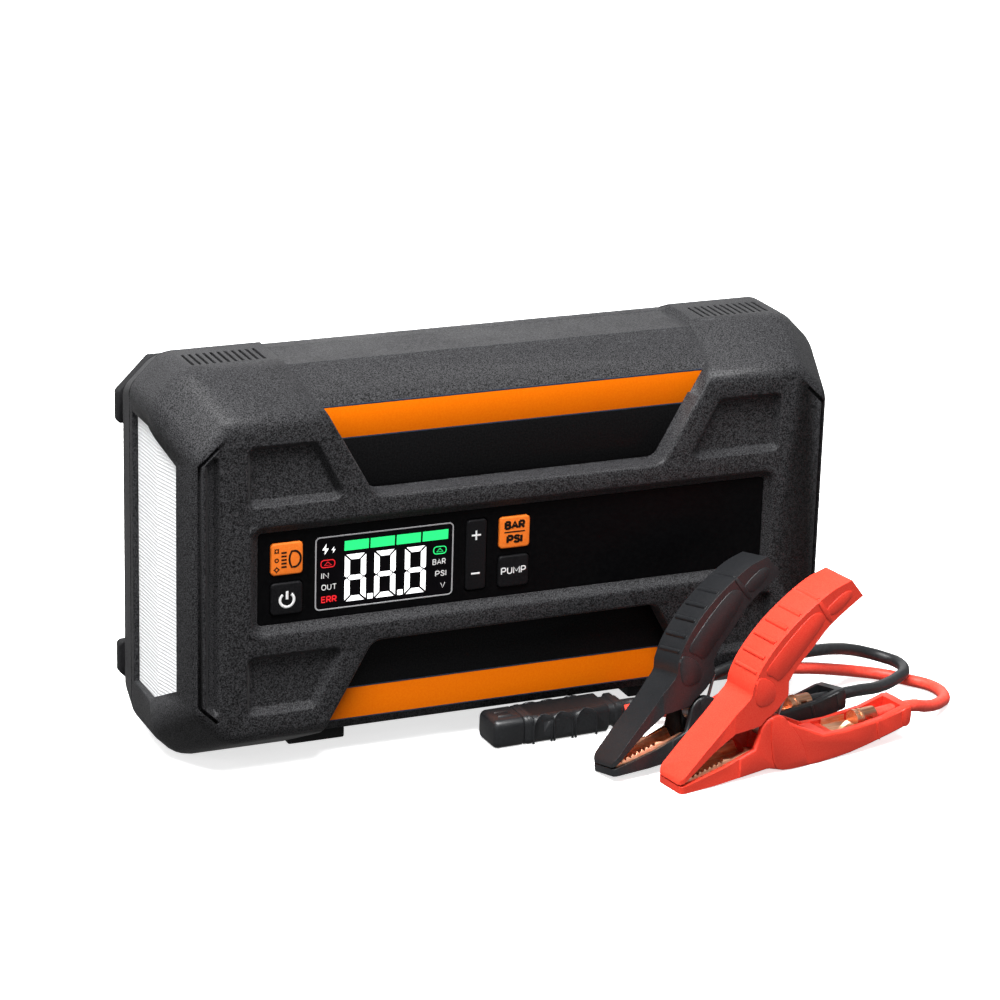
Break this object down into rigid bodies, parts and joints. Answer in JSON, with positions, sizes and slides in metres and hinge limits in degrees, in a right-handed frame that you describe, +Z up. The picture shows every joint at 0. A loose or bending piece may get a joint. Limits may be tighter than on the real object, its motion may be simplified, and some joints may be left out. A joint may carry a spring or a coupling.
{
  "type": "jump starter pack",
  "caption": "Portable car jump starter with tyre compressor, display panel, end lamp, port door and a lead with two sprung battery clamps.",
  "frame": {"origin": "on the surface the case stands on, under the middle of the case", "axes": "+X along the case towards the port door, -Y out of the control panel, +Z up"},
  "size_m": [0.2902, 0.129, 0.139],
  "materials": {
    "shell": "fine grained charcoal ABS",
    "pads": "matte",
    "steel": "zinc plated",
    "label_black": "satin film",
    "label_orange": "satin film",
    "panel": "glossy",
    "display": "dark glossy window",
    "board": "solder mask",
    "switch": "matte",
    "key_orange": "satin silicone",
    "key_black": "satin silicone",
    "lens": "milky ribbed acrylic",
    "reflector": "bright",
    "led": "phosphor",
    "door": "matte",
    "socket_blue": "moulded nylon",
    "copper": "copper plated",
    "brass": "turned",
    "hose": "matte",
    "tray": "matte",
    "cells": "pouch foil",
    "casting": "die cast",
    "nylon": "natural nylon",
    "clamp_red": "fine satin",
    "clamp_black": "fine satin",
    "cord_red": "soft PVC",
    "cord_black": "soft PVC"
  },
  "bodies": {
    "case": {"front_shell": "shell", "rear_shell": "shell", "rear_pads": "pads", "foot_pads": "pads", "case_screws": "steel", "label_plates": "label_black", "label_stripes": "label_orange", "control_panel": "panel", "display_window": "display", "display_module": "display", "panel_board": "board", "panel_screws": "steel", "key_switches": "switch", "lamp_lens": "lens", "lamp_reflector": "reflector", "lamp_board": "reflector", "lamp_leds": "led", "jump_socket": "socket_blue", "socket_contacts": "copper", "usb_a_port": "steel", "usb_c_port": "steel", "hose_outlet": "brass", "air_line": "hose", "battery_tray": "tray", "battery_cells": "cells", "main_board": "board", "power_relays": "switch", "compressor_frame": "casting", "motor_can": "steel", "compressor_cylinder": "casting", "plug_body": "clamp_black", "plug_contacts": "copper", "plug_collar": "clamp_black", "red_cord": "cord_red", "black_cord": "cord_black", "red_lower_handle": "clamp_red", "red_lower_jaw": "copper", "red_pin": "steel", "red_spring": "steel", "red_lug": "copper", "black_lower_handle": "clamp_black", "black_lower_jaw": "copper", "black_pin": "steel", "black_spring": "steel", "black_lug": "copper"},
    "light_key": {"light_button": "key_orange"},
    "power_key": {"power_button": "key_black"},
    "unit_key": {"unit_button": "key_orange"},
    "pump_key": {"pump_button": "key_black"},
    "rocker": {"adjust_rocker": "key_black"},
    "door": {"port_door": "door"},
    "crank": {"crank_gear": "nylon"},
    "pinion": {"motor_pinion": "brass"},
    "piston_rod": {"piston": "brass"},
    "cap": {"plug_cap": "clamp_black"},
    "red_lever": {"red_upper_handle": "clamp_red", "red_upper_jaw": "copper"},
    "black_lever": {"black_upper_handle": "clamp_black", "black_upper_jaw": "copper"}
  },
  "joints": [
    {"name": "light_press", "type": "slide", "parent": "case", "child": "light_key", "axis": [0, 1, 0], "range_m": [0, 0.0006], "stiffness_N_per_m": 800, "springref_m": -0.0003},
    {"name": "power_press", "type": "slide", "parent": "case", "child": "power_key", "axis": [0, 1, 0], "range_m": [0, 0.0006], "stiffness_N_per_m": 800, "springref_m": -0.0003},
    {"name": "unit_press", "type": "slide", "parent": "case", "child": "unit_key", "axis": [0, 1, 0], "range_m": [0, 0.0006], "stiffness_N_per_m": 800, "springref_m": -0.0003},
    {"name": "pump_press", "type": "slide", "parent": "case", "child": "pump_key", "axis": [0, 1, 0], "range_m": [0, 0.0006], "stiffness_N_per_m": 800, "springref_m": -0.0003},
    {"name": "rocker_tilt", "type": "hinge", "parent": "case", "child": "rocker", "pos_m": [-0.0155, -0.0256, 0.0705], "axis": [1, 0, 0], "range_deg": [-2.5, 2.5], "stiffness_Nm_per_rad": 0.4},
    {"name": "door_swing", "type": "hinge", "parent": "case", "child": "door", "pos_m": [0.1228, 0.0128, 0.0705], "axis": [0, 0, 1], "range_deg": [0, 90]},
    {"name": "crank_spin", "type": "hinge", "parent": "case", "child": "crank", "pos_m": [0.044, 0.019, 0.1105], "axis": [0, 1, 0], "continuous": true},
    {"name": "pinion_spin", "type": "hinge", "parent": "case", "child": "pinion", "pos_m": [0.0239, 0.019, 0.1105], "axis": [0, 1, 0], "continuous": true},
    {"name": "piston_stroke", "type": "slide", "parent": "case", "child": "piston_rod", "axis": [-1, 0, 0], "range_m": [0, 0.008]},
    {"name": "cap_pull", "type": "slide", "parent": "case", "child": "cap", "axis": [-0.9994, -0.0349, 0], "range_m": [0, 0.016]},
    {"name": "red_clamp_open", "type": "hinge", "parent": "case", "child": "red_lever", "pos_m": [0.07123, -0.08308, 0.0155], "axis": [-0.1564, 0.9877, 0], "range_deg": [0, 30], "stiffness_Nm_per_rad": 0.4, "springref_deg": -20.05, "deforming": ["red_spring"]},
    {"name": "black_clamp_open", "type": "hinge", "parent": "case", "child": "black_lever", "pos_m": [0.05361, -0.06509, 0.01662], "axis": [-0.1368, 0.9734, -0.184], "range_deg": [0, 30], "stiffness_Nm_per_rad": 0.4, "springref_deg": -20.05, "deforming": ["black_spring"]}
  ],
  "couplings": [
    {"joint": "pinion_spin", "follows": "crank_spin", "ratio": -4.5556}
  ]
}
